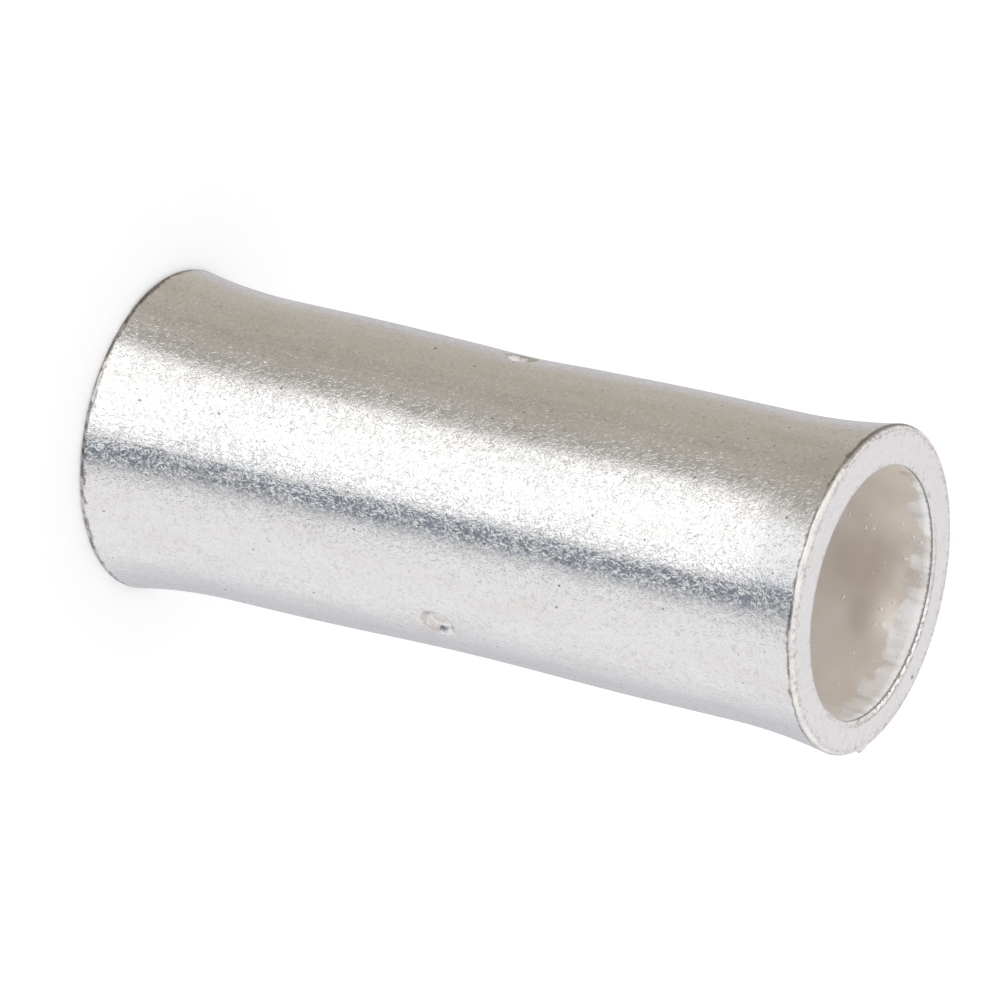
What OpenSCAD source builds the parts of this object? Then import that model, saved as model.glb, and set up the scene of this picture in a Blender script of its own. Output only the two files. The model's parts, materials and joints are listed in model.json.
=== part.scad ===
// Butt splice connector: a tin-plated copper sleeve that joins two wires end to end.
// The sleeve stands on one end, with its axis along Z and the middle of that end at the origin.

/* [Sleeve] */
// Length from end face to end face
sleeve_len = 35; // [30:0.5:45]
// Diameter of the bore that takes the wire
bore_d = 10.7; // [8:0.1:14]
// Thickness of the tube's wall
wall = 1.3; // [0.9:0.05:2]

/* [Ends] */
// How far each end flares out beyond the barrel, on the radius
flare_rise = 0.45; // [0.1:0.05:0.8]
// Length of each flare, from the straight barrel to the lip
flare_len = 4.8; // [2:0.1:6]
// Radius of the rounded outer edge of each lip
lip_round = 0.2; // [0.1:0.05:0.5]
// Chamfer at the mouth of the bore
mouth_chamfer = 0.18; // [0.05:0.01:0.3]

/* [Waist] */
// Depth of the shallow waist between the two wires
waist_depth = 0.13; // [0.05:0.01:0.25]
// Length of the waist along the sleeve
waist_len = 18; // [8:0.5:18]
// Height of the waist and its wire stops above mid length
waist_shift = -0.45; // [-0.8:0.05:0.8]

/* [Wire stops] */
// Turn of the back dimple around the sleeve, in degrees
stop_turn = 80; // [0:1:359]
// Angle between the two front dimples, which face the back one
stop_spread = 137; // [90:1:150]
// Radius of the punch that pressed the dimples
punch_r = 0.9; // [0.6:0.05:1.2]
// Depth of each dimple below the waist
stop_depth = 0.45; // [0.2:0.05:0.55]

/* [Hidden] */
$fa = 0.25;
$fs = 0.25;

waist_z = sleeve_len / 2 + waist_shift;
bore_r = bore_d / 2;
barrel_r = bore_r + wall;
lip_r = barrel_r + flare_rise;
mouth_r = bore_r + mouth_chamfer;
waist_r = barrel_r - waist_depth;

// Radius of an arc that leaves a straight line and has risen by rise after run
function arc_radius(run, rise) = (run * run + rise * rise) / (2 * rise);
flare_round = arc_radius(flare_len, flare_rise);
waist_round = arc_radius(waist_len / 2, waist_depth);

// The waist's outside and inside are arcs about one centre, so the wall keeps its thickness
waist_centre_r = waist_r + waist_round;

// The dimple and the bump behind it are spheres about one centre, for the same reason
punch_centre_r = waist_r - stop_depth + punch_r;
front_turn = stop_turn + 180;
stop_turns = [stop_turn, front_turn - stop_spread / 2, front_turn + stop_spread / 2];

// Repeats an end's profile at the other end of the sleeve
module both_ends() {
    children();
    translate([0, sleeve_len]) mirror([0, 1]) children();
}

// Half section of one flared end: a rounded lip, then an arc that runs out into the barrel
module flare_profile() {
    square([lip_r - lip_round, lip_round]);
    intersection() {
        translate([lip_r - lip_round, lip_round]) circle(lip_round);
        square([lip_r, lip_round]);
    }
    translate([0, lip_round]) difference() {
        square([lip_r, flare_len]);
        translate([barrel_r + flare_round, flare_len]) circle(flare_round);
    }
}

// Half section of the sleeve's outside, as if it had no bore
module outer_profile() {
    difference() {
        translate([0, lip_round + flare_len]) square([barrel_r, sleeve_len - 2 * (lip_round + flare_len)]);
        translate([waist_centre_r, waist_z]) circle(waist_round);
    }
    both_ends() flare_profile();
}

// Half section of the bore, drawn in by the waist and chamfered at both mouths
module bore_profile() {
    difference() {
        translate([0, mouth_chamfer]) square([bore_r, sleeve_len - 2 * mouth_chamfer]);
        translate([waist_centre_r, waist_z]) circle(waist_round + wall);
    }
    both_ends() polygon([[0, 0], [mouth_r, 0], [bore_r, mouth_chamfer], [0, mouth_chamfer]]);
}

// A sphere at the place of each stop dimple
module at_stops(sphere_r) {
    for (turn = stop_turns) {
        rotate([0, 0, turn])
            translate([punch_centre_r, 0, waist_z])
                sphere(sphere_r);
    }
}

// Bumps that the punch raised inside the bore, cut off in the middle of the wall
module stop_bumps() {
    intersection() {
        at_stops(punch_r + wall);
        translate([0, 0, waist_z]) cylinder(h = 2 * (punch_r + wall), r = waist_r - wall / 2, center = true);
    }
}

// The sleeve is one length of tube: flared at both ends, waisted and dimpled in the middle
module sleeve() {
    color([0.80, 0.79, 0.79]) difference() {
        union() {
            rotate_extrude() difference() {
                outer_profile();
                bore_profile();
            }
            stop_bumps();
        }
        at_stops(punch_r);
    }
}

sleeve();
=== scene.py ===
"""Butt splice connector: a tin-plated copper sleeve with flared ends and pressed wire stops."""

import json
import math
from typing import NamedTuple

import bpy
from bpy.props import FloatProperty, FloatVectorProperty, IntProperty, PointerProperty
from mathutils import Matrix, Vector


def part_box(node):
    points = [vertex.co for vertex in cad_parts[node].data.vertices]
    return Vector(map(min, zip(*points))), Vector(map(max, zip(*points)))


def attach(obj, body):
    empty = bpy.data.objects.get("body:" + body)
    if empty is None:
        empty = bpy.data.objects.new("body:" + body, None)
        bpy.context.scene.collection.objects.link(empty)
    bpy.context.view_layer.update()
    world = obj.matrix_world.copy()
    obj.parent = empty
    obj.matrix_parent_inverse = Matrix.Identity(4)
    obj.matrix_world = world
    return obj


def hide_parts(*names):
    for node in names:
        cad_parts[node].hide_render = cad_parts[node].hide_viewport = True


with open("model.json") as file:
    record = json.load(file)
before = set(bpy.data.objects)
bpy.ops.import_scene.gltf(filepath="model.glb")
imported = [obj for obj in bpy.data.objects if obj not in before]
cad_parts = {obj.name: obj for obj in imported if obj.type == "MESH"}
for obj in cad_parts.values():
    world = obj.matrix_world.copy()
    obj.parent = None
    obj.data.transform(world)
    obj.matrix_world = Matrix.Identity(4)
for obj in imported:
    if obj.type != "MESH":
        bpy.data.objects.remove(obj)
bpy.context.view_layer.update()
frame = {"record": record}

bl_info = {
    "name": "Butt Splice Connector",
    "version": (1, 0, 0),
    "blender": (4, 5, 0),
    "location": "View3D > Sidebar > Splice",
    "description": "Builds a tin-plated butt splice sleeve and a studio to see it in",
    "category": "Add Mesh",
}

MM = 0.001

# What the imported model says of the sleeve
MOUNTS = {mount["name"]: mount for mount in frame["record"]["mounts"]}
LOW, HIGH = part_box("sleeve")
LENGTH = HIGH.z - LOW.z
LIP_R = (HIGH.x - LOW.x) / 2
BORE_R = MOUNTS["wire_entry_upper"]["dims"]["r_mm"] * MM

WHITE = (1.0, 1.0, 1.0, 1.0)

# Values that each ring of the section carries, beside its zone
RING_VALUES = ("edge", "upper_lip", "inner")

# Spacing of the rings near the wire stops and away from them
OUTSIDE_ROWS = (0.08 * MM, 0.5 * MM)
BORE_ROWS = (0.15 * MM, 0.7 * MM)
LIP_STEPS = 7
MOUTH_BAND = 0.12 * MM
WELD = 0.0001 * MM

# Beads of tin in the bore: widest bead, their middle depth below the mouth, how far they spread from it
BEAD_SIZE = 0.07 * MM
BEAD_DEPTH = 2.2 * MM
BEAD_SPREAD = 1.2 * MM
BEADS_PER_AREA = 0.9e6
BEAD_SEED = 7

# Tumbling strokes: layers of them, and the turn in degrees from one layer to the next
STROKE_LAYERS = 5
STROKE_TURN = 37

# Nick in the upper end face: millimetres from the axis, and turn around it
NICK_R = 6.56
NICK_TURN = math.radians(60.6)

# Height above the horizon where the low panels end, and where the sky begins
LOW_RISE = (math.radians(-40), math.radians(-32))
SKY_RISE = (math.radians(-5), math.radians(12))

# The zones of the sleeve's surface, in the order of its material slots
BORE, CUT, BARREL, BEAD = range(4)


def length_prop(name, description, default):
    """A length in metres."""
    return FloatProperty(name=name, description=description, default=default, precision=5, unit="LENGTH")


def angle_prop(name, description, degrees):
    """An angle, given in degrees."""
    return FloatProperty(name=name, description=description, default=math.radians(degrees), subtype="ANGLE")


def share_prop(name, description, default):
    """A share or strength with no unit."""
    return FloatProperty(name=name, description=description, default=default, precision=3)


def colour_prop(name, description, default):
    """A linear colour."""
    return FloatVectorProperty(
        name=name, description=description, default=default, size=3, min=0, max=1, subtype="COLOR")


class SleeveSizes(bpy.types.PropertyGroup):
    """Sizes of the sleeve. Length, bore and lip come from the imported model."""

    length: length_prop("Length", "From end face to end face", LENGTH)
    bore_r: length_prop("Bore radius", "Radius of the bore that takes the wire", BORE_R)
    lip_r: length_prop("Lip radius", "Outside radius at the lip of each end", LIP_R)
    wall: length_prop("Wall", "Thickness of the tube's wall", 1.3 * MM)
    flare_len: length_prop("Flare length", "From the straight barrel to the lip", 4.8 * MM)
    lip_round: length_prop("Lip round", "Radius of the rounded outer edge of each lip", 0.2 * MM)
    rim: length_prop("Rim", "How far the cut's dark edge reaches down the flare", 0.06 * MM)
    bell_rise: length_prop("Bell rise", "How far the bore opens out at each mouth", 0.18 * MM)
    bell_len: length_prop("Bell length", "How far down the bore that opening reaches", 3 * MM)
    mouth_round: length_prop("Mouth round", "Size of the broken edge at each mouth", 0.04 * MM)
    waist_depth: length_prop("Waist depth", "How far the middle is drawn in", 0.13 * MM)
    waist_len: length_prop("Waist length", "Length of the drawn-in stretch", 18 * MM)
    waist_shift: length_prop("Waist shift", "Height of the waist above mid length", -0.45 * MM)
    stop_turn: angle_prop("Stop turn", "Turn of the back stop around the sleeve", 80)
    stop_spread: angle_prop("Stop spread", "Angle between the two front stops", 137)
    stop_r: length_prop("Stop radius", "Radius of each stop dimple at the surface", 0.8 * MM)
    stop_floor_r: length_prop("Stop floor", "Radius of the dimple's flat floor", 0.46 * MM)
    stop_depth: length_prop("Stop depth", "Depth of each stop dimple", 0.32 * MM)
    dish_r: length_prop("Dish radius", "Radius of the shallow dish around a dimple", 3.2 * MM)
    dish_depth: length_prop("Dish depth", "Depth of that dish", 0.07 * MM)
    bore_shift: length_prop("Bore shift", "How far the bore lies off the axis, along X", 0.12 * MM)
    ragged: length_prop("Ragged edges", "How far cut edges wander", 0.022 * MM)
    burr_turn: angle_prop("Burr turn", "Turn of the burr on the upper lip", 22)
    burr_width: length_prop("Burr width", "Half width of that burr along the lip", 0.55 * MM)
    burr_reach: length_prop("Burr reach", "How far the burr stands out", 0.22 * MM)
    around: IntProperty(name="Around", description="Faces around the sleeve", default=500, min=48)


class TinFinish(bpy.types.PropertyGroup):
    """Colours and marks of the tin plate."""

    tin: colour_prop("Tin", "Bright tin plate", (0.92, 0.917, 0.915))
    tin_warm: colour_prop("Warm tin", "Tin where it has dulled", (0.75, 0.715, 0.68))
    # Polished tin, which along the lip's rounding also stands for a painted highlight
    cream_and_highlight: colour_prop("Cream tin", "Polished tin along the lip and burr", (0.95, 0.92, 0.87))
    bore_tin: colour_prop("Bore tin", "Tin inside the bore", (0.985, 0.94, 0.885))
    # Also the colour of the bore's painted shade
    bore_shade: colour_prop("Bore shade", "Bore where its tin is thin", (0.80, 0.73, 0.665))
    cut_tin: colour_prop("Cut tin", "Tin over the sawn end", (0.79, 0.775, 0.785))
    copper: colour_prop("Copper", "Copper that shows at worn edges", (0.56, 0.43, 0.365))
    grime: colour_prop("Grime", "Brown film in the corners", (0.42, 0.34, 0.295))
    # The dark of pits and nicks, also used for painted shade along the lips and just inside the mouths
    soot_and_shade: colour_prop("Dark edge", "Dirt in the ragged edges", (0.17, 0.15, 0.135))
    gloss: share_prop("Roughness", "Roughness of the tumbled plate", 0.1)
    stroke_lift: length_prop("Stroke depth", "Depth of the tumbling strokes", 0.015 * MM)
    film_lean: share_prop("Film lean", "How far the film of tin leans to the mouth, as a slope", 0.22)
    stroke_tilt: share_prop("Stroke tilt", "How far a stroke tilts the plate, as a slope", 0.27)


class Studio(bpy.types.PropertyGroup):
    """Camera, floor and light."""

    camera_rise: angle_prop("Camera rise", "Angle of the camera above the floor", 27.5)
    camera_roll: angle_prop("Camera roll", "How far the sleeve's axis dips to the picture's right", 12.91)
    camera_far: length_prop("Camera distance", "From the camera to the sleeve's middle", 368 * MM)
    aim_right: length_prop("Aim right", "How far the sleeve's middle lies right of the picture's", 0.51 * MM)
    aim_down: length_prop("Aim down", "How far the sleeve's middle lies below the picture's", 0.3245 * MM)
    lens: FloatProperty(name="Lens", description="Focal length in millimetres", default=309.5)
    floor_size: length_prop("Floor size", "Width of the floor", 1.6)
    floor: colour_prop("Floor", "Colour of the floor", (0.92, 0.92, 0.92))
    floor_lift: share_prop("Floor lift", "Light that the floor adds for the camera", 0.2)
    sky: colour_prop("Sky", "Light from above", (0.95, 0.95, 0.96))
    skew: share_prop("Panel lean", "How far the panels lean around with height", 0.08)


def find(sockets, key):
    """A socket by its place, its identifier or its name."""
    if isinstance(key, int):
        return sockets[key]
    return next((each for each in sockets if each.identifier == key), None) or sockets[key]


class Recipe:
    """Adds nodes to one tree. Sockets given as inputs are linked, and plain values are set."""

    def __init__(self, tree):
        self.tree = tree

    def add(self, kind, inputs=(), **settings):
        made = self.tree.nodes.new(kind)
        for name, value in settings.items():
            setattr(made, name, value)
        for key, value in dict(inputs).items():
            self.feed(find(made.inputs, key), value)
        return made

    def feed(self, socket, value):
        if isinstance(value, bpy.types.NodeSocket):
            self.tree.links.new(value, socket)
        else:
            socket.default_value = value

    def math(self, operation, *values, clamp=False):
        made = self.add("ShaderNodeMath", enumerate(values), operation=operation, use_clamp=clamp)
        return made.outputs[0]

    def vector(self, operation, *values):
        made = self.add("ShaderNodeVectorMath", enumerate(values), operation=operation)
        scalar = operation in {"DOT_PRODUCT", "LENGTH", "DISTANCE"}
        return made.outputs["Value" if scalar else "Vector"]

    def scale(self, vector, factor):
        made = self.add("ShaderNodeVectorMath", {0: vector, "Scale": factor}, operation="SCALE")
        return made.outputs["Vector"]

    def split(self, vector):
        return self.add("ShaderNodeSeparateXYZ", {0: vector}).outputs

    def join(self, x, y, z):
        return self.add("ShaderNodeCombineXYZ", {0: x, 1: y, 2: z}).outputs[0]

    def ramp(self, value, low, high, to_low=0.0, to_high=1.0):
        """A smooth step of value between low and high."""
        made = self.add(
            "ShaderNodeMapRange",
            {"Value": value, "From Min": low, "From Max": high, "To Min": to_low, "To Max": to_high},
            interpolation_type="SMOOTHSTEP")
        return made.outputs[0]

    def noise(self, vector, scale, detail=2.0, roughness=0.5):
        made = self.add(
            "ShaderNodeTexNoise",
            {"Vector": vector, "Scale": scale, "Detail": detail, "Roughness": roughness})
        return made.outputs

    def cells(self, vector, scale):
        """Flat Voronoi cells."""
        made = self.add("ShaderNodeTexVoronoi", {"Vector": vector, "Scale": scale}, voronoi_dimensions="2D")
        return made.outputs

    def mix(self, share, first, second):
        made = self.add("ShaderNodeMix", data_type="RGBA")
        for key, value in (("Factor_Float", share), ("A_Color", first), ("B_Color", second)):
            self.feed(find(made.inputs, key), value)
        return find(made.outputs, "Result_Color")


def opaque(colour):
    """A colour with full alpha."""
    return (*colour, 1.0)


# Section of the sleeve

def outer_radius(sizes, z):
    """Outside radius of the barrel and its flares at a height."""
    barrel_r = sizes.bore_r + sizes.wall
    rise = sizes.lip_r - barrel_r
    flare_round = (sizes.flare_len ** 2 + rise ** 2) / (2 * rise)
    end = min(z, sizes.length - z) - sizes.lip_round
    run = max(sizes.flare_len - end, 0.0)
    flare = flare_round - math.sqrt(max(flare_round ** 2 - run ** 2, 0.0))
    return barrel_r + flare - waist(sizes, z)


def waist(sizes, z):
    """How far the wall is drawn in at a height."""
    along = abs(z - waist_height(sizes)) / (sizes.waist_len / 2)
    return sizes.waist_depth * math.cos(min(along, 1.0) * math.pi / 2) ** 2


def bore_radius(sizes, z):
    """Inside radius at a height: drawn in at the waist, opened out at the mouths."""
    depth = min(z, sizes.length - z)
    bell = max(0.0, 1 - depth / sizes.bell_len) ** 2
    return sizes.bore_r + sizes.bell_rise * bell - waist(sizes, z)


def waist_height(sizes):
    """Height of the waist's middle and of the wire stops."""
    return sizes.length / 2 + sizes.waist_shift


def heights(sizes, low, high, fine, coarse):
    """Heights from low to high, close together around the wire stops."""
    made = [low]
    while made[-1] < high:
        near_stop = abs(made[-1] - waist_height(sizes)) < 1.5 * sizes.stop_r
        made.append(made[-1] + (fine if near_stop else coarse))
    made[-1] = high
    return made


class Ring(NamedTuple):
    """One ring of the turned surface. zone is that of the stretch up to the next ring."""

    radius: float
    z: float
    zone: int
    edge: float = 0.0
    upper_lip: float = 0.0
    inner: float = 0.0


def section(sizes):
    """Rings from the lower mouth out over the face, up the outside, over the upper face and down the bore."""
    top = sizes.length
    flat_r = sizes.lip_r - sizes.lip_round
    mouth_r = sizes.bore_r + sizes.bell_rise
    rim = sizes.lip_round + sizes.rim
    lower = [
        Ring(mouth_r, 0.0, CUT, edge=1.0, inner=1.0),
        Ring(mouth_r + MOUTH_BAND, 0.0, CUT, edge=0.4, inner=1.0),
        Ring((mouth_r + flat_r) / 2, 0.0, CUT)]
    for i in range(LIP_STEPS + 1):
        turn = math.pi / 2 * i / LIP_STEPS
        radius = flat_r + sizes.lip_round * math.sin(turn)
        lower.append(Ring(radius, sizes.lip_round * (1 - math.cos(turn)), CUT, edge=i / LIP_STEPS))
    outside = [
        Ring(outer_radius(sizes, z), z, BARREL)
        for z in heights(sizes, rim, top - rim, *OUTSIDE_ROWS)]
    outside[-1] = outside[-1]._replace(zone=CUT)
    upper = [
        ring._replace(z=top - ring.z, upper_lip=ring.edge * (1 - ring.inner))
        for ring in reversed(lower)]
    low, high = sizes.mouth_round, top - sizes.mouth_round
    bore = [
        Ring(bore_radius(sizes, z), z, BORE, inner=1.0)
        for z in reversed(heights(sizes, low, high, *BORE_ROWS))]
    bore[0] = bore[0]._replace(radius=mouth_r - sizes.mouth_round, edge=0.7)
    bore[-1] = bore[-1]._replace(radius=mouth_r - sizes.mouth_round, edge=0.7, zone=CUT)
    return lower + outside + upper + bore


def section_mesh(sizes):
    """The half section as loose points that carry each ring's values as attributes."""
    rings = section(sizes)
    mesh = bpy.data.meshes.new("sleeve_section")
    mesh.from_pydata([(ring.radius, 0.0, ring.z) for ring in rings], [], [])
    for name in ("zone", *RING_VALUES):
        kept = mesh.attributes.new(name, "FLOAT", "POINT")
        kept.data.foreach_set("value", [float(getattr(ring, name)) for ring in rings])
    return mesh


# Geometry nodes

STOP_SIZES = ("Floor radius", "Radius", "Depth", "Dish radius", "Dish depth")
TREE_FLOATS = (
    "Length", "Bore shift", "Stop height", "Stop turn", "Stop spread", *STOP_SIZES,
    "Ragged", "Burr turn", "Burr width", "Burr reach", "Bead size")


def along_turn(nodes, position, turn):
    """How far a position lies out along a turn around the axis, and how far sideways of it."""
    x, y, _ = nodes.split(position)
    cosine = nodes.math("COSINE", turn)
    sine = nodes.math("SINE", turn)
    out = nodes.math("ADD", nodes.math("MULTIPLY", x, cosine), nodes.math("MULTIPLY", y, sine))
    sideways = nodes.math("SUBTRACT", nodes.math("MULTIPLY", y, cosine), nodes.math("MULTIPLY", x, sine))
    return out, sideways


def stop_dent_group():
    """How deep one wire stop pushes the wall at a position."""
    tree = bpy.data.node_groups.new("Stop dent", "GeometryNodeTree")
    sockets = tree.interface
    sockets.new_socket("Position", in_out="INPUT", socket_type="NodeSocketVector")
    for name in ("Turn", "Height", *STOP_SIZES):
        sockets.new_socket(name, in_out="INPUT", socket_type="NodeSocketFloat")
    sockets.new_socket("Push", in_out="OUTPUT", socket_type="NodeSocketFloat")
    nodes = Recipe(tree)
    given = nodes.add("NodeGroupInput").outputs
    out, sideways = along_turn(nodes, given["Position"], given["Turn"])
    upward = nodes.math("SUBTRACT", nodes.split(given["Position"])[2], given["Height"])
    away = nodes.vector("LENGTH", nodes.join(sideways, upward, 0.0))
    dent = nodes.ramp(away, given["Floor radius"], given["Radius"], given["Depth"], 0.0)
    dish = nodes.ramp(away, 0.0, given["Dish radius"], given["Dish depth"], 0.0)
    push = nodes.math("MULTIPLY", nodes.math("ADD", dent, dish), nodes.math("GREATER_THAN", out, 0.0))
    nodes.add("NodeGroupOutput", {"Push": push})
    return tree


def sleeve_tree(zone_materials):
    """Turns a half section around Z, presses the stops in, and roughens the cut edges."""
    tree = bpy.data.node_groups.new("Turned sleeve", "GeometryNodeTree")
    sockets = tree.interface
    sockets.new_socket("Section", in_out="INPUT", socket_type="NodeSocketGeometry")
    for name in ("Section points", "Around", "Seed"):
        sockets.new_socket(name, in_out="INPUT", socket_type="NodeSocketInt")
    for name in TREE_FLOATS:
        sockets.new_socket(name, in_out="INPUT", socket_type="NodeSocketFloat")
    sockets.new_socket("Sleeve", in_out="OUTPUT", socket_type="NodeSocketGeometry")
    nodes = Recipe(tree)
    given = nodes.add("NodeGroupInput").outputs

    worn = worn_edges(nodes, given, pressed_stops(nodes, given, turned_surface(nodes, given)))
    beads = tin_beads(nodes, given, worn)
    whole = nodes.add("GeometryNodeJoinGeometry")
    nodes.tree.links.new(beads, whole.inputs[0])
    nodes.tree.links.new(worn, whole.inputs[0])
    smooth = nodes.add("GeometryNodeSetShadeSmooth", {"Geometry": whole.outputs[0]})
    dressed = nodes.add("GeometryNodeRealizeInstances", {"Geometry": smooth.outputs[0]}).outputs[0]
    for number, material in enumerate(zone_materials):
        here = nodes.math("COMPARE", named(nodes, "zone"), float(number), 0.1)
        dressed = nodes.add(
            "GeometryNodeSetMaterial",
            {"Geometry": dressed, "Selection": here, "Material": material}).outputs[0]
    nodes.add("NodeGroupOutput", {"Sleeve": dressed})
    return tree


def named(nodes, name):
    """A named attribute as a field."""
    return nodes.add("GeometryNodeInputNamedAttribute", {"Name": name}, data_type="FLOAT").outputs[0]


def in_zone(nodes, mesh, zone):
    """Keeps the zone of each face of a mesh."""
    return nodes.add(
        "GeometryNodeStoreNamedAttribute", {"Geometry": mesh, "Name": "zone", "Value": zone},
        data_type="FLOAT", domain="FACE").outputs[0]


def turned_surface(nodes, given):
    """A grid with one row for each point of the section, wrapped around the axis and closed."""
    grid = nodes.add("GeometryNodeMeshGrid", {
        "Size X": 1.0, "Size Y": 1.0,
        "Vertices X": nodes.math("ADD", given["Section points"], 1.0),
        "Vertices Y": nodes.math("ADD", given["Around"], 1.0)}).outputs["Mesh"]
    place = nodes.split(nodes.add("GeometryNodeInputPosition").outputs[0])
    along = nodes.math("MULTIPLY", nodes.math("ADD", place[0], 0.5), given["Section points"])
    turn = nodes.math("MULTIPLY", nodes.math("ADD", place[1], 0.5), math.tau)
    row = nodes.math("MODULO", nodes.math("ROUND", along), given["Section points"])

    def sample(value, index, data_type="FLOAT"):
        return nodes.add(
            "GeometryNodeSampleIndex",
            {"Geometry": given["Section"], "Value": value, "Index": index},
            data_type=data_type, domain="POINT").outputs[0]

    zone = sample(named(nodes, "zone"), nodes.math("FLOOR", along))
    surface = in_zone(nodes, grid, zone)
    for name in RING_VALUES:
        surface = nodes.add(
            "GeometryNodeStoreNamedAttribute",
            {"Geometry": surface, "Name": name, "Value": sample(named(nodes, name), row)},
            data_type="FLOAT", domain="POINT").outputs[0]
    spot = nodes.split(sample(nodes.add("GeometryNodeInputPosition").outputs[0], row, "FLOAT_VECTOR"))
    shift = nodes.math("MULTIPLY", sample(named(nodes, "inner"), row), given["Bore shift"])
    wrapped = nodes.join(
        nodes.math("MULTIPLY_ADD", spot[0], nodes.math("COSINE", turn), shift),
        nodes.math("MULTIPLY", spot[0], nodes.math("SINE", turn)),
        spot[2])
    moved = nodes.add("GeometryNodeSetPosition", {"Geometry": surface, "Position": wrapped}).outputs[0]
    return nodes.add("GeometryNodeMergeByDistance", {"Geometry": moved, "Distance": WELD}).outputs[0]


def outward(nodes, position):
    """The unit vector from the axis towards a position."""
    x, y, _ = nodes.split(position)
    return nodes.vector("NORMALIZE", nodes.join(x, y, 0.0))


def pressed_stops(nodes, given, surface):
    """Pushes the wall in at the three stops, outside and inside alike."""
    position = nodes.add("GeometryNodeInputPosition").outputs[0]
    half = nodes.math("MULTIPLY", given["Stop spread"], 0.5)
    front = nodes.math("ADD", given["Stop turn"], math.pi)
    turns = (given["Stop turn"], nodes.math("SUBTRACT", front, half), nodes.math("ADD", front, half))
    dent = stop_dent_group()
    push = 0.0
    for turn in turns:
        inputs = {"Position": position, "Turn": turn, "Height": given["Stop height"]}
        inputs.update({name: given[name] for name in STOP_SIZES})
        one = nodes.add("GeometryNodeGroup", node_tree=dent)
        for name, value in inputs.items():
            nodes.feed(one.inputs[name], value)
        push = nodes.math("ADD", push, one.outputs["Push"])
    offset = nodes.scale(outward(nodes, position), nodes.math("MULTIPLY", push, -1.0))
    return nodes.add("GeometryNodeSetPosition", {"Geometry": surface, "Offset": offset}).outputs[0]


def worn_edges(nodes, given, surface):
    """Lets the cut edges wander, and raises one burr on the upper lip."""
    position = nodes.add("GeometryNodeInputPosition").outputs[0]
    wander = nodes.vector("SUBTRACT", nodes.noise(position, 3.5 / MM, 3.0)[1], (0.5, 0.5, 0.5))
    ragged = nodes.scale(wander, nodes.math("MULTIPLY", given["Ragged"], named(nodes, "edge")))
    out, sideways = along_turn(nodes, position, given["Burr turn"])
    near = nodes.ramp(nodes.math("ABSOLUTE", sideways), 0.0, given["Burr width"], 1.0, 0.0)
    near = nodes.math("MULTIPLY", near, nodes.math("GREATER_THAN", out, 0.0))
    near = nodes.math("MULTIPLY", near, named(nodes, "upper_lip"))
    burr = nodes.scale(outward(nodes, position), nodes.math("MULTIPLY", near, given["Burr reach"]))
    offset = nodes.vector("ADD", ragged, burr)
    return nodes.add("GeometryNodeSetPosition", {"Geometry": surface, "Offset": offset}).outputs[0]


def tin_beads(nodes, given, surface):
    """Beads of tin that ran together just inside the upper mouth."""
    position = nodes.add("GeometryNodeInputPosition").outputs[0]
    x, y, z = nodes.split(position)
    depth = nodes.math("SUBTRACT", given["Length"], z)
    inside = nodes.math("LESS_THAN", nodes.vector("LENGTH", nodes.join(x, y, 0.0)), BORE_R * 1.03)
    near_mouth = nodes.math("COMPARE", depth, BEAD_DEPTH, BEAD_SPREAD)
    side = nodes.math("GREATER_THAN", nodes.math("ADD", x, y), 0.0)
    chosen = nodes.math("MULTIPLY", nodes.math("MULTIPLY", inside, near_mouth), side)
    spread = nodes.add(
        "GeometryNodeDistributePointsOnFaces",
        {"Mesh": surface, "Selection": chosen, "Density": BEADS_PER_AREA, "Seed": given["Seed"]})
    bead = nodes.add("GeometryNodeMeshIcoSphere", {"Radius": 1.0, "Subdivisions": 2})
    size = nodes.add(
        "FunctionNodeRandomValue",
        {"Min_001": 0.35, "Max_001": 1.0, "Seed": given["Seed"]}, data_type="FLOAT")
    width = nodes.math("MULTIPLY", find(size.outputs, "Value_001"), given["Bead size"])
    shape = nodes.join(width, nodes.math("MULTIPLY", width, 1.6), nodes.math("MULTIPLY", width, 0.8))
    points = nodes.add("GeometryNodeRemoveAttribute", {"Geometry": spread.outputs["Points"], "Name": "zone"})
    placed = nodes.add("GeometryNodeInstanceOnPoints", {
        "Points": points.outputs[0], "Instance": in_zone(nodes, bead.outputs["Mesh"], float(BEAD)),
        "Rotation": spread.outputs["Rotation"], "Scale": shape})
    return placed.outputs[0]


def set_inputs(modifier, values):
    """Sets a geometry nodes modifier's inputs by their names."""
    for item in modifier.node_group.interface.items_tree:
        if item.in_out == "INPUT" and item.name in values:
            modifier[item.identifier] = values[item.name]


# Materials

def new_material(name):
    """A material with a Principled shader, and the recipe that fills it."""
    material = bpy.data.materials.new(name)
    material.use_nodes = True
    nodes = Recipe(material.node_tree)
    shader = material.node_tree.nodes["Principled BSDF"]
    shader.inputs["Metallic"].default_value = 1.0
    return material, nodes, shader


def millimetres(nodes):
    """Object coordinates in millimetres."""
    return nodes.scale(nodes.add("ShaderNodeTexCoord").outputs["Object"], 1 / MM)


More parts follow.
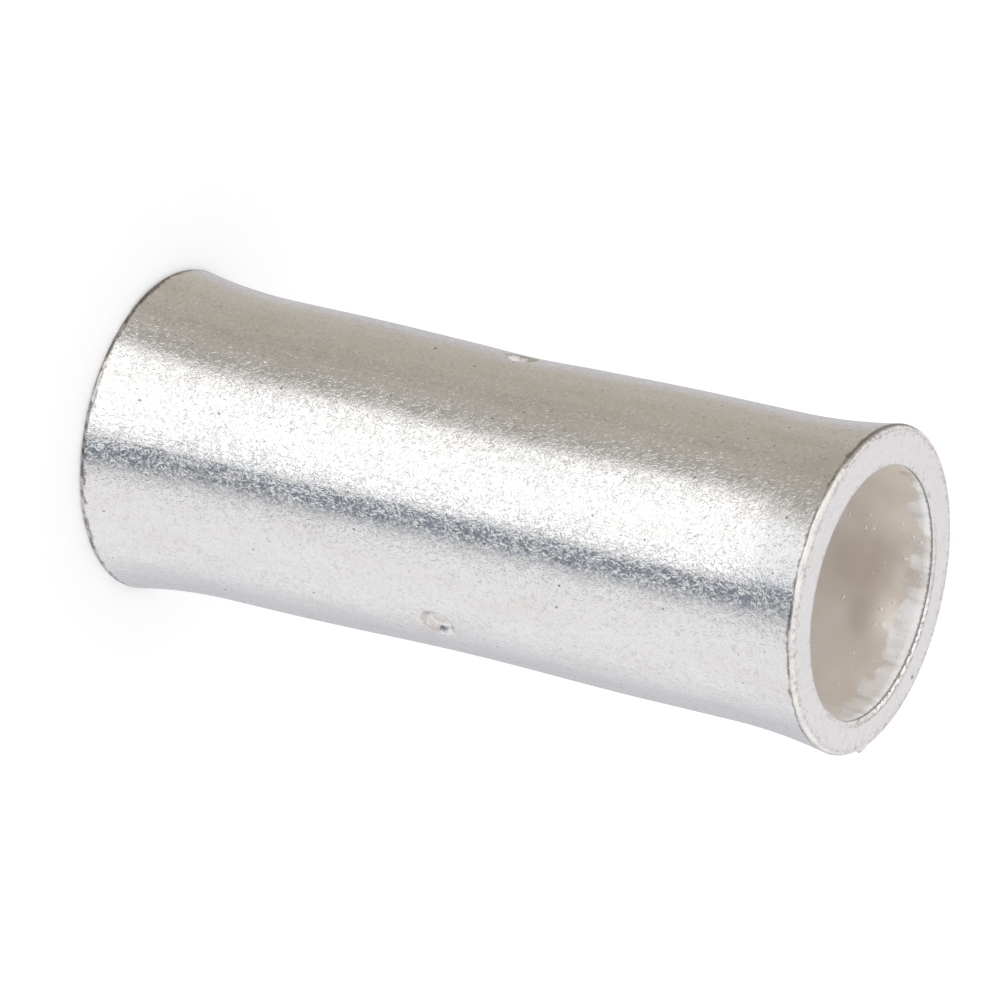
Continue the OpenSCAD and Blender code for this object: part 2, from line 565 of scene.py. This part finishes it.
def strokes_group():
    """Short strokes at many turns over a flat pattern in millimetres.

    Few of them are deep, and each one tilts a little.
    """
    if "Tumble strokes" in bpy.data.node_groups:
        return bpy.data.node_groups["Tumble strokes"]
    tree = bpy.data.node_groups.new("Tumble strokes", "ShaderNodeTree")
    tree.interface.new_socket("Vector", in_out="INPUT", socket_type="NodeSocketVector")
    for name in ("Length", "Width", "Slope", "Depth"):
        tree.interface.new_socket(name, in_out="INPUT", socket_type="NodeSocketFloat")
    for name in ("Height", "Mark"):
        tree.interface.new_socket(name, in_out="OUTPUT", socket_type="NodeSocketFloat")
    nodes = Recipe(tree)
    given = nodes.add("NodeGroupInput").outputs
    stretch = nodes.join(given["Length"], given["Width"], 1.0)
    change = nodes.join(given["Slope"], given["Slope"], 0.0)
    height = mark = 0.0
    for layer in range(STROKE_LAYERS):
        placing = {
            "Vector": given["Vector"], "Location": (3.7 * layer, 1.9 * layer, 0.0),
            "Rotation": (0.0, 0.0, math.radians(STROKE_TURN * layer)), "Scale": stretch}
        turned = nodes.add("ShaderNodeMapping", placing, vector_type="TEXTURE").outputs[0]
        cell = nodes.cells(turned, 1.0)
        chance = nodes.vector("SUBTRACT", cell["Color"], (0.5, 0.5, 0.5))
        away = nodes.vector("MULTIPLY", nodes.vector("SUBTRACT", turned, cell["Position"]), stretch)
        tilt = nodes.vector("DOT_PRODUCT", away, nodes.vector("MULTIPLY", chance, change))
        across, _, deep = nodes.split(chance)
        sunk = nodes.math("MULTIPLY_ADD", across, given["Depth"], tilt)
        inside = nodes.math("MAXIMUM", nodes.math("MULTIPLY_ADD", cell["Distance"], -1.7, 1.0), 0.0)
        deep = nodes.math("MAXIMUM", nodes.math("MULTIPLY_ADD", deep, 1.7, 0.15), 0.0)
        inside = nodes.math("MULTIPLY", inside, nodes.math("POWER", deep, 1.5))
        height = nodes.math("MULTIPLY_ADD", inside, sunk, height)
        mark = nodes.math("MAXIMUM", mark, inside)
    nodes.add("NodeGroupOutput", {"Height": height, "Mark": mark})
    return tree


def strokes(nodes, sheet, **sizes):
    """Places the stroke group in a material. Sizes are in millimetres."""
    made = nodes.add("ShaderNodeGroup", node_tree=strokes_group())
    nodes.feed(made.inputs["Vector"], sheet)
    for name, value in sizes.items():
        nodes.feed(made.inputs[name.title()], value)
    return made.outputs["Height"], made.outputs["Mark"]


def camera_turn(nodes, x, y):
    """Turn around the axis, from the side that faces the camera."""
    return nodes.math("ARCTAN2", x, nodes.math("MULTIPLY", y, -1.0))


def unrolled(nodes, place, radius):
    """The wall laid flat, in millimetres around and along the sleeve."""
    x, y, z = nodes.split(place)
    turn = camera_turn(nodes, x, y)
    return nodes.join(nodes.math("MULTIPLY", turn, radius / MM), z, 0.0)


def swayed(nodes, sheet, place):
    """A flat pattern bent a little from place to place."""
    sway = nodes.vector("SUBTRACT", nodes.noise(place, 1.2, 1.0)[1], (0.5, 0.5, 0.5))
    return nodes.vector("ADD", sheet, nodes.scale(sway, 0.3))


def bump(nodes, height_mm):
    """A normal from a height in millimetres."""
    return nodes.add("ShaderNodeBump", {"Height": height_mm, "Strength": 1.0, "Distance": MM}).outputs[0]


def total(nodes, *terms):
    """Sum of (value, weight) pairs."""
    made = 0.0
    for value, weight in terms:
        made = nodes.math("MULTIPLY_ADD", value, weight, made)
    return made


def barrel_material(finish, sizes):
    """Tumbled tin: fine strokes in every direction, soft waves, a few dark pits, a dark line at each lip that
    is partly painted shade, and brown darkening along the lower edge of each stop dimple.
    """
    material, nodes, shader = new_material("tumbled_tin")
    place = millimetres(nodes)
    sheet = swayed(nodes, unrolled(nodes, place, sizes.lip_r), place)
    fine, mark = strokes(
        nodes, sheet, length=0.34, width=0.052, slope=finish.stroke_tilt, depth=finish.stroke_lift / MM)
    wave = nodes.noise(place, 0.9, 3.0)[0]
    grain = nodes.noise(place, 9.0, 2.0)[0]
    height = total(nodes, (fine, 1.0), (wave, 0.012), (grain, 0.0004))
    colour = nodes.mix(dulled(nodes, place, mark), opaque(finish.tin), opaque(finish.tin_warm))
    # Dark line along each lip: partly dirt in the ragged edge, partly painted shade where the flare meets the
    # lip
    ragged = nodes.noise(place, 2.2, 4.0, 0.6)[0]
    from_end = nodes.math("MULTIPLY_ADD", ragged, 0.6, end_distance(nodes, place, sizes))
    rim = (sizes.lip_round + sizes.rim) / MM
    edge = nodes.ramp(from_end, rim + 0.26, rim + 0.4, 0.75, 0.0)
    dark_and_shade = nodes.math("MAXIMUM", dark_pits(nodes, place, sheet), edge)
    colour = nodes.mix(dark_and_shade, colour, opaque(finish.soot_and_shade))
    colour = nodes.mix(stop_rim_darkening(nodes, place, sizes), colour, opaque(finish.grime))
    nodes.feed(shader.inputs["Base Color"], colour)
    nodes.feed(shader.inputs["Roughness"], total(nodes, (grain, 0.06), (1.0, finish.gloss - 0.03)))
    nodes.feed(shader.inputs["Normal"], bump(nodes, height))
    return material


def dulled(nodes, place, mark):
    """Share of dull tin: strokes, flecks, specks, and clouds drawn out along the axis."""
    drawn = nodes.add("ShaderNodeMapping", {"Vector": place, "Scale": (1.0, 1.0, 0.3)}).outputs[0]
    cloud = nodes.ramp(nodes.noise(drawn, 0.9, 4.0, 0.6)[0], 0.38, 0.68)
    speck = nodes.ramp(nodes.noise(place, 10.0, 1.0)[0], 0.52, 0.75)
    fleck = nodes.ramp(nodes.noise(place, 4.0, 3.0, 0.6)[0], 0.56, 0.72)
    share = total(nodes, (mark, 0.45), (fleck, 0.6), (speck, 0.45))
    return nodes.math("MULTIPLY_ADD", cloud, 0.25, share, clamp=True)


def dark_pits(nodes, place, sheet):
    """Share of dark in a few small pits with frayed edges."""
    frayed = nodes.vector("ADD", sheet, nodes.scale(nodes.noise(place, 14.0, 1.0)[1], 0.12))
    pit = nodes.cells(frayed, 0.8)
    chance = nodes.split(pit["Color"])
    size = nodes.math("MULTIPLY_ADD", chance[2], 0.04, 0.006)
    rare = nodes.ramp(chance[1], 0.55, 1.0, 0.0, 0.85)
    beyond = nodes.math("SUBTRACT", pit["Distance"], size)
    return nodes.math("MULTIPLY", nodes.ramp(beyond, 0.0, 0.015, 1.0, 0.0), rare)


def around_axis(radius, turn, z):
    """A point at a radius, a turn and a height."""
    return (radius * math.cos(turn), radius * math.sin(turn), z)


def stop_rim_darkening(nodes, place, sizes):
    """Share of brown darkening along the lower edge of each stop dimple."""
    radius, height = outer_radius(sizes, waist_height(sizes)) / MM, waist_height(sizes) / MM
    front, half = sizes.stop_turn + math.pi, sizes.stop_spread / 2
    nearest = sizes.length / MM
    for turn in (sizes.stop_turn, front - half, front + half):
        away = nodes.vector("DISTANCE", place, around_axis(radius, turn, height))
        nearest = nodes.math("MINIMUM", nearest, away)
    ring = band(nodes, nearest, sizes.stop_r / MM - 0.06, 0.16)
    below = nodes.ramp(nodes.math("SUBTRACT", height, nodes.split(place)[2]), -0.1, 0.4)
    worn = nodes.ramp(nodes.noise(place, 2.6, 3.0, 0.6)[0], 0.38, 0.56, 0.1, 0.5)
    return nodes.math("MULTIPLY", nodes.math("MULTIPLY", ring, below), worn)


def end_distance(nodes, place, sizes):
    """Distance in millimetres from the nearer end face."""
    z = nodes.split(place)[2]
    return nodes.math("MINIMUM", z, nodes.math("SUBTRACT", sizes.length / MM, z))


def upper_half(nodes, place, sizes):
    """1 in the upper half of the sleeve and -1 in the lower."""
    middle = sizes.length / 2 / MM
    return nodes.math("SIGN", nodes.math("SUBTRACT", nodes.split(place)[2], middle))


def axis_distance(nodes, place, shift=0.0):
    """Distance in millimetres from an axis along Z, which lies shifted along X."""
    x, y, _ = nodes.split(place)
    return nodes.vector("LENGTH", nodes.join(nodes.math("SUBTRACT", x, shift / MM), y, 0.0))


def band(nodes, value, middle, half):
    """1 where a value is at the middle of a band, falling to 0 at its edges."""
    away = nodes.math("ABSOLUTE", nodes.math("SUBTRACT", value, middle))
    return nodes.ramp(away, 0.3 * half, half, 1.0, 0.0)


def facing(nodes, place, degrees):
    """1 on the side of the sleeve at a turn around it, 0 a quarter turn away, and -1 opposite."""
    turn = math.radians(degrees)
    x, y, _ = nodes.split(place)
    around = nodes.vector("NORMALIZE", nodes.join(x, y, 0.0))
    return nodes.vector("DOT_PRODUCT", around, (math.cos(turn), math.sin(turn), 0.0))


def cut_material(finish, sizes):
    """Sawn end under tin: faint lines, a bright lip that is partly a painted highlight, ragged dark edges
    with painted shade, and a burr along the mouth painted as a bright highlight.
    """
    material, nodes, shader = new_material("cut_tin")
    place = millimetres(nodes)
    lip_z, flat_r = sizes.lip_round / MM, (sizes.lip_r - sizes.lip_round) / MM
    mouth_r = (sizes.bore_r + sizes.bell_rise) / MM
    from_axis = axis_distance(nodes, place)
    wander = nodes.math("SUBTRACT", nodes.noise(place, 3.0, 4.0, 0.6)[0], 0.5)
    upper = upper_half(nodes, place, sizes)
    from_end = end_distance(nodes, place, sizes)
    edge_z = total(nodes, (wander, 0.16), (from_end, 1.0), (upper, -0.05), (1.0, 0.05))
    edge_r = nodes.math("MULTIPLY_ADD", wander, 0.16, from_axis)
    mouth = nodes.math("MULTIPLY_ADD", wander, 0.12, axis_distance(nodes, place, sizes.bore_shift))
    outer = nodes.math("GREATER_THAN", from_axis, flat_r)
    patchy = nodes.ramp(nodes.noise(place, 1.1, 4.0, 0.6)[0], 0.4, 0.6)

    turned = nodes.add(
        "ShaderNodeMapping", {"Vector": place, "Rotation": (0.0, 0.0, 0.6), "Scale": (0.35, 9.0, 1.0)})
    saw = nodes.noise(turned.outputs[0], 1.0, 3.0)[0]
    grain = nodes.noise(place, 7.0, 3.0)[0]
    colour = nodes.mix(nodes.ramp(saw, 0.3, 0.7, 0.0, 0.4), opaque(finish.cut_tin), opaque(finish.tin_warm))
    dirt = nodes.ramp(nodes.noise(place, 4.5, 4.0, 0.7)[0], 0.48, 0.7)
    near_lip = nodes.ramp(edge_r, flat_r - 0.4, flat_r)
    near_mouth = nodes.ramp(mouth, mouth_r, mouth_r + 0.3, 1.0, 0.0)
    near_edge = nodes.math("MAXIMUM", near_lip, near_mouth)
    dirt = nodes.math("MULTIPLY", dirt, nodes.math("MULTIPLY_ADD", near_edge, 0.7, 0.2))
    colour = nodes.mix(dirt, colour, opaque(finish.grime))
    # Cream along the lip's rounding: partly polished tin, partly a painted highlight
    lip = nodes.math("MULTIPLY", nodes.ramp(edge_z, 0.0, 0.05), outer)
    polish_and_highlight = nodes.math("MULTIPLY", lip, nodes.math("MULTIPLY_ADD", patchy, 0.7, 0.3))
    colour = nodes.mix(polish_and_highlight, colour, opaque(finish.cream_and_highlight))
    rosy = nodes.math("MULTIPLY", band(nodes, edge_r, flat_r - 0.02, 0.08), nodes.ramp(grain, 0.45, 0.6))
    colour = nodes.mix(nodes.math("MULTIPLY", rosy, 0.65), colour, opaque(finish.copper))
    # Dark line where the lip meets the flare, partly dirt and partly painted shade, and painted shade on the
    # side of the lip facing turn 202 degrees
    broken = nodes.ramp(nodes.noise(place, 1.6, 4.0, 0.65)[0], 0.4, 0.58, 0.3, 0.9)
    dark_and_shade = nodes.math("MULTIPLY", nodes.ramp(edge_z, lip_z - 0.06, lip_z + 0.06), broken)
    topside = nodes.math("MULTIPLY_ADD", wander, 0.2, facing(nodes, place, 202))
    shaded_side = nodes.ramp(topside, 0.86, 0.93, 0.0, 0.75)
    shaded_side = nodes.math("MULTIPLY", shaded_side, nodes.ramp(edge_z, 0.01, 0.06))
    dark_and_shade = nodes.math("MULTIPLY", nodes.math("MAXIMUM", dark_and_shade, shaded_side), outer)
    colour = nodes.mix(dark_and_shade, colour, opaque(finish.soot_and_shade))

    side = facing(nodes, place, 60)
    seam = nodes.math("MULTIPLY", band(nodes, mouth, mouth_r + 0.2, 0.12), nodes.ramp(side, 0.3, 0.9))
    seam = nodes.math("MULTIPLY", seam, nodes.ramp(grain, 0.35, 0.6, 0.1, 0.7))
    colour = nodes.mix(seam, colour, opaque(finish.grime))
    # Painted highlight: near-white mottled with copper along the mouth's edge on the side facing turn 60
    # degrees
    burr = nodes.ramp(mouth, mouth_r + 0.15, mouth_r + 0.2, 1.0, 0.0)
    burr = nodes.math("MULTIPLY", burr, nodes.ramp(side, 0.8, 0.88))
    mottle = nodes.ramp(nodes.noise(place, 5.0, 2.0)[0], 0.5, 0.62)
    burr_highlight_tint = nodes.mix(mottle, (1.0, 0.99, 0.97, 1.0), opaque(finish.copper))
    colour = nodes.mix(burr, colour, burr_highlight_tint)
    nick = nodes.vector("DISTANCE", place, around_axis(NICK_R, NICK_TURN, sizes.length / MM))
    colour = nodes.mix(nodes.ramp(nick, 0.05, 0.12, 0.95, 0.0), colour, opaque(finish.soot_and_shade))
    nodes.feed(shader.inputs["Base Color"], colour)
    bright = nodes.math("MAXIMUM", lip, burr)
    nodes.feed(shader.inputs["Roughness"], total(nodes, (grain, 0.2), (bright, -0.14), (1.0, 0.3)))
    beads = nodes.math("MULTIPLY", nodes.noise(place, 6.0, 1.0)[0], burr)
    height = total(nodes, (saw, 0.004), (grain, 0.003), (beads, 0.04))
    nodes.feed(shader.inputs["Normal"], bump(nodes, height))
    return material


LUMPS = (
    # Soft lumps in the wall of the bore: turn in degrees, then depth below the upper mouth, reach and
    # height in millimetres
    (79, 2.2, 1.3, 0.16),
    (128, 2.8, 1.7, 0.12),
    (35, 3.4, 1.6, 0.08),
)


def bore_spot(sizes, degrees, depth):
    """A point on the bore's wall in millimetres, at a turn and a depth below the upper mouth."""
    return around_axis(sizes.bore_r / MM, math.radians(degrees), sizes.length / MM - depth)


def bore_lumps(nodes, place, sizes):
    """Height of the soft lumps in the bore's wall."""
    height = 0.0
    for degrees, depth, reach, rise in LUMPS:
        away = nodes.vector("DISTANCE", place, bore_spot(sizes, degrees, depth))
        height = nodes.math("ADD", height, nodes.ramp(away, 0.0, reach, rise, 0.0))
    return height


def bore_material(finish, sizes):
    """Drawn tube under tin: soft lumps, faint streaks, a film of tin that ran in at the mouth, and painted
    shade in one patch of the wall and just inside the mouth.
    """
    material, nodes, shader = new_material("bore_tin")
    place = millimetres(nodes)
    from_end = end_distance(nodes, place, sizes)
    streaks = nodes.add("ShaderNodeMapping", {"Vector": place, "Scale": (1.6, 1.6, 0.3)})
    streak = nodes.noise(streaks.outputs[0], 1.0, 3.0)[0]
    grain = nodes.noise(place, 8.0, 2.0)[0]
    cloud = nodes.noise(place, 0.4, 2.0)[0]
    ragged = nodes.noise(place, 0.9, 3.0)[0]
    film_edge = total(nodes, (ragged, 2.6), (facing(nodes, place, 50), 0.6), (1.0, -0.55))
    film = nodes.ramp(nodes.math("SUBTRACT", film_edge, from_end), -0.2, 0.2)
    # Painted shade: one soft dark patch in the wall at turn 102 degrees, 3.2 mm below the mouth, over random
    # clouds of darker tin
    shade = nodes.ramp(nodes.vector("DISTANCE", place, bore_spot(sizes, 102, 3.2)), 0.2, 2.4, 0.8, 0.0)
    shade = nodes.math("MULTIPLY_ADD", nodes.ramp(cloud, 0.35, 0.65), 0.4, shade, clamp=True)
    wall = nodes.mix(shade, opaque(finish.bore_tin), opaque(finish.bore_shade))
    bright = nodes.mix(nodes.ramp(streak, 0.45, 0.7, 0.0, 0.9), opaque(finish.tin), opaque(finish.tin_warm))
    colour = nodes.mix(film, wall, bright)
    # Painted shade: a dark band just inside the mouth's broken edge
    dark_and_shade = nodes.ramp(nodes.math("MULTIPLY_ADD", grain, 0.15, from_end), 0.16, 0.26, 0.85, 0.0)
    colour = nodes.mix(dark_and_shade, colour, opaque(finish.soot_and_shade))
    nodes.feed(shader.inputs["Base Color"], colour)
    nodes.feed(shader.inputs["Metallic"], nodes.ramp(from_end, 1.5, 5.0, 0.55, 0.2))
    nodes.feed(shader.inputs["Roughness"], total(nodes, (film, -0.1), (grain, 0.1), (1.0, 0.34)))
    lumps = bore_lumps(nodes, place, sizes)
    height = total(nodes, (lumps, 1.0), (cloud, 0.12), (streak, 0.004), (film, 0.004))
    lean = nodes.ramp(streak, 0.35, 0.7, finish.film_lean, 0.4 * finish.film_lean)
    lean = nodes.math("MULTIPLY", nodes.math("MULTIPLY", film, lean), upper_half(nodes, place, sizes))
    leant = nodes.vector("ADD", bump(nodes, height), nodes.join(0.0, 0.0, lean))
    nodes.feed(shader.inputs["Normal"], nodes.vector("NORMALIZE", leant))
    return material


def bead_material(finish):
    """Tin that melted into beads."""
    material, nodes, shader = new_material("bead_tin")
    grain = nodes.noise(millimetres(nodes), 6.0, 2.0)[0]
    nodes.feed(shader.inputs["Base Color"], nodes.mix(grain, opaque(finish.cream_and_highlight), opaque(finish.tin)))
    nodes.feed(shader.inputs["Roughness"], total(nodes, (grain, 0.1), (1.0, 0.08)))
    shader.inputs["Metallic"].default_value = 0.4
    return material


class SPLICE_OT_sleeve(bpy.types.Operator):
    """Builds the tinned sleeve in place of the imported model's solid"""

    bl_idname = "splice.sleeve"
    bl_label = "Make Sleeve"

    def execute(self, context):
        sizes, finish = context.scene.splice_sizes, context.scene.splice_finish
        zones = [
            bore_material(finish, sizes), cut_material(finish, sizes), barrel_material(finish, sizes),
            bead_material(finish)]
        outline = section_mesh(sizes)
        piece = bpy.data.objects.new("tinned_sleeve", outline)
        context.collection.objects.link(piece)
        modifier = piece.modifiers.new("Turned sleeve", "NODES")
        modifier.node_group = sleeve_tree(zones)
        set_inputs(modifier, {
            "Section points": len(outline.vertices), "Around": sizes.around, "Seed": BEAD_SEED,
            "Length": sizes.length, "Bore shift": sizes.bore_shift, "Stop height": waist_height(sizes),
            "Stop turn": sizes.stop_turn, "Stop spread": sizes.stop_spread,
            "Floor radius": sizes.stop_floor_r, "Radius": sizes.stop_r, "Depth": sizes.stop_depth,
            "Dish radius": sizes.dish_r, "Dish depth": sizes.dish_depth, "Ragged": sizes.ragged,
            "Burr turn": sizes.burr_turn, "Burr width": sizes.burr_width, "Burr reach": sizes.burr_reach,
            "Bead size": BEAD_SIZE})
        made = bpy.data.meshes.new_from_object(piece.evaluated_get(context.evaluated_depsgraph_get()))
        piece.modifiers.clear()
        piece.data = made
        made.name = "tinned_sleeve"
        if len(made.polygons) < sizes.around:
            raise RuntimeError("the sleeve's tree gave no surface")
        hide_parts("sleeve")
        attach(piece, "root")
        return {"FINISHED"}


# Stage

PANELS = (
    # Turn from the camera in degrees, and the light that comes from there
    (-180, (0.60, 0.60, 0.63)),
    (-154, (0.62, 0.61, 0.62)),
    (-138, (0.50, 0.46, 0.40)),
    (-126, (0.53, 0.485, 0.425)),
    (-112, (0.44, 0.405, 0.35)),
    (-99, (0.49, 0.45, 0.39)),
    (-86, (0.39, 0.36, 0.315)),
    (-73, (0.49, 0.455, 0.41)),
    (-62, (0.38, 0.36, 0.335)),
    (-53, (0.46, 0.45, 0.43)),
    (-46, (1.25, 1.25, 1.25)),
    (13, (1.25, 1.25, 1.25)),
    (18, (0.19, 0.22, 0.265)),
    (31, (0.19, 0.22, 0.265)),
    (42, (0.86, 0.853, 0.866)),
    (108, (0.878, 0.876, 0.89)),
    (140, (0.62, 0.62, 0.66)),
    (180, (0.60, 0.60, 0.63)),
)
LOW_PANELS = (
    # The same light low down, where the bright panel is narrower and dimmer
    (-180, (0.56, 0.56, 0.59)),
    (-154, (0.58, 0.57, 0.58)),
    (-138, (0.45, 0.415, 0.36)),
    (-80, (0.40, 0.37, 0.325)),
    (-44, (0.42, 0.40, 0.375)),
    (-34, (0.93, 0.95, 0.98)),
    (6, (0.93, 0.95, 0.98)),
    (15, (0.21, 0.24, 0.285)),
    (31, (0.24, 0.265, 0.30)),
    (44, (0.84, 0.835, 0.85)),
    (108, (0.86, 0.858, 0.87)),
    (140, (0.60, 0.60, 0.64)),
    (180, (0.56, 0.56, 0.59)),
)


def panel_light(nodes, share, panels):
    """The panels' light by the share of a full turn."""
    ramp = nodes.add("ShaderNodeValToRGB", {"Fac": share})
    stops = ramp.color_ramp.elements
    while len(stops) < len(panels):
        stops.new(0.5)
    for stop, (degrees, colour) in zip(stops, panels):
        stop.position = degrees / 360 + 0.5
        stop.color = opaque(colour)
    return ramp.outputs["Color"]


def studio_world(studio):
    """Pale light from above, and soft panels around the sleeve that its sides mirror."""
    world = bpy.data.worlds.new("soft_panels")
    world.use_nodes = True
    nodes = Recipe(world.node_tree)
    background = world.node_tree.nodes["Background"]
    x, y, z = nodes.split(nodes.add("ShaderNodeTexCoord").outputs["Generated"])
    rise = nodes.math("ARCSINE", z)
    lean = nodes.math("MULTIPLY", nodes.math("ADD", rise, studio.camera_rise), studio.skew)
    turn = nodes.math("ADD", camera_turn(nodes, x, y), lean)
    share = nodes.math("FRACT", nodes.math("ADD", nodes.math("DIVIDE", turn, math.tau), 0.5))
    low = nodes.ramp(rise, *LOW_RISE, 1.0, 0.0)
    panels = nodes.mix(low, panel_light(nodes, share, PANELS), panel_light(nodes, share, LOW_PANELS))
    above = nodes.ramp(rise, *SKY_RISE)
    light = nodes.mix(above, panels, opaque(studio.sky))
    seen = nodes.add("ShaderNodeLightPath").outputs["Is Camera Ray"]
    nodes.feed(background.inputs["Color"], nodes.mix(seen, light, WHITE))
    return world


def studio_floor(studio):
    """A plain pale floor, which the metal's mirror images and shadow rays pass by."""
    half = studio.floor_size / 2
    mesh = bpy.data.meshes.new("floor")
    corners = [(-half, -half, 0), (half, -half, 0), (half, half, 0), (-half, half, 0)]
    mesh.from_pydata(corners, [], [(0, 1, 2, 3)])
    floor = bpy.data.objects.new("floor", mesh)
    floor.visible_glossy = False
    floor.visible_shadow = False
    material = bpy.data.materials.new("pale_floor")
    material.use_nodes = True
    nodes = Recipe(material.node_tree)
    shader = material.node_tree.nodes["Principled BSDF"]
    shader.inputs["Base Color"].default_value = opaque(studio.floor)
    shader.inputs["Roughness"].default_value = 0.9
    shader.inputs["Specular IOR Level"].default_value = 0.0
    shader.inputs["Emission Color"].default_value = WHITE
    seen = nodes.add("ShaderNodeLightPath").outputs["Is Camera Ray"]
    nodes.feed(shader.inputs["Emission Strength"], nodes.math("MULTIPLY", seen, studio.floor_lift))
    mesh.materials.append(material)
    return floor


def studio_camera(studio, sizes):
    """The camera looks down at the standing sleeve, rolled so that its axis runs across the picture."""
    rise, roll = studio.camera_rise, studio.camera_roll
    ahead = Vector((0, math.cos(rise), -math.sin(rise)))
    upward = Vector((0, math.sin(rise), math.cos(rise)))
    sideways = Vector((1, 0, 0))
    right = upward * math.cos(roll) - sideways * math.sin(roll)
    down = upward * math.sin(roll) + sideways * math.cos(roll)
    middle = Vector((0, 0, sizes.length / 2))
    place = middle - right * studio.aim_right - down * studio.aim_down - ahead * studio.camera_far
    data = bpy.data.cameras.new("camera")
    data.lens = studio.lens
    data.sensor_width = 36
    data.clip_start = studio.camera_far / 100
    data.clip_end = studio.camera_far * 100
    camera = bpy.data.objects.new("camera", data)
    turned = Matrix((right, -down, -ahead)).transposed().to_4x4()
    camera.matrix_world = Matrix.Translation(place) @ turned
    return camera


class SPLICE_OT_stage(bpy.types.Operator):
    """Sets up the floor, the light and the camera"""

    bl_idname = "splice.stage"
    bl_label = "Make Stage"

    def execute(self, context):
        scene = context.scene
        studio = scene.splice_studio
        floor = studio_floor(studio)
        camera = studio_camera(studio, scene.splice_sizes)
        for made in (floor, camera):
            context.collection.objects.link(made)
        scene.camera = camera
        scene.world = studio_world(studio)
        scene.view_settings.view_transform = "Standard"
        return {"FINISHED"}


class SPLICE_PT_sidebar(bpy.types.Panel):
    """Lists the splice's sizes, finish and studio, and the buttons that build them"""

    bl_idname = "SPLICE_PT_sidebar"
    bl_label = "Butt Splice"
    bl_space_type = "VIEW_3D"
    bl_region_type = "UI"
    bl_category = "Splice"

    def draw(self, context):
        scene = context.scene
        groups = {"Sleeve": scene.splice_sizes, "Tin": scene.splice_finish, "Studio": scene.splice_studio}
        for title, group in groups.items():
            box = self.layout.box()
            box.label(text=title)
            for name in group.bl_rna.properties.keys():
                if name not in {"rna_type", "name"}:
                    box.prop(group, name)
        self.layout.operator(SPLICE_OT_sleeve.bl_idname)
        self.layout.operator(SPLICE_OT_stage.bl_idname)


CLASSES = (SleeveSizes, TinFinish, Studio, SPLICE_OT_sleeve, SPLICE_OT_stage, SPLICE_PT_sidebar)


def register():
    """Adds the classes and the settings that each scene keeps."""
    for made in CLASSES:
        bpy.utils.register_class(made)
    bpy.types.Scene.splice_sizes = PointerProperty(type=SleeveSizes)
    bpy.types.Scene.splice_finish = PointerProperty(type=TinFinish)
    bpy.types.Scene.splice_studio = PointerProperty(type=Studio)


def unregister():
    """Takes the settings and the classes away again."""
    del bpy.types.Scene.splice_studio
    del bpy.types.Scene.splice_finish
    del bpy.types.Scene.splice_sizes
    for made in reversed(CLASSES):
        bpy.utils.unregister_class(made)


def main():
    """Builds the sleeve and its stage."""
    register()
    bpy.ops.splice.sleeve()
    bpy.ops.splice.stage()


if __name__ == "__main__":
    main()
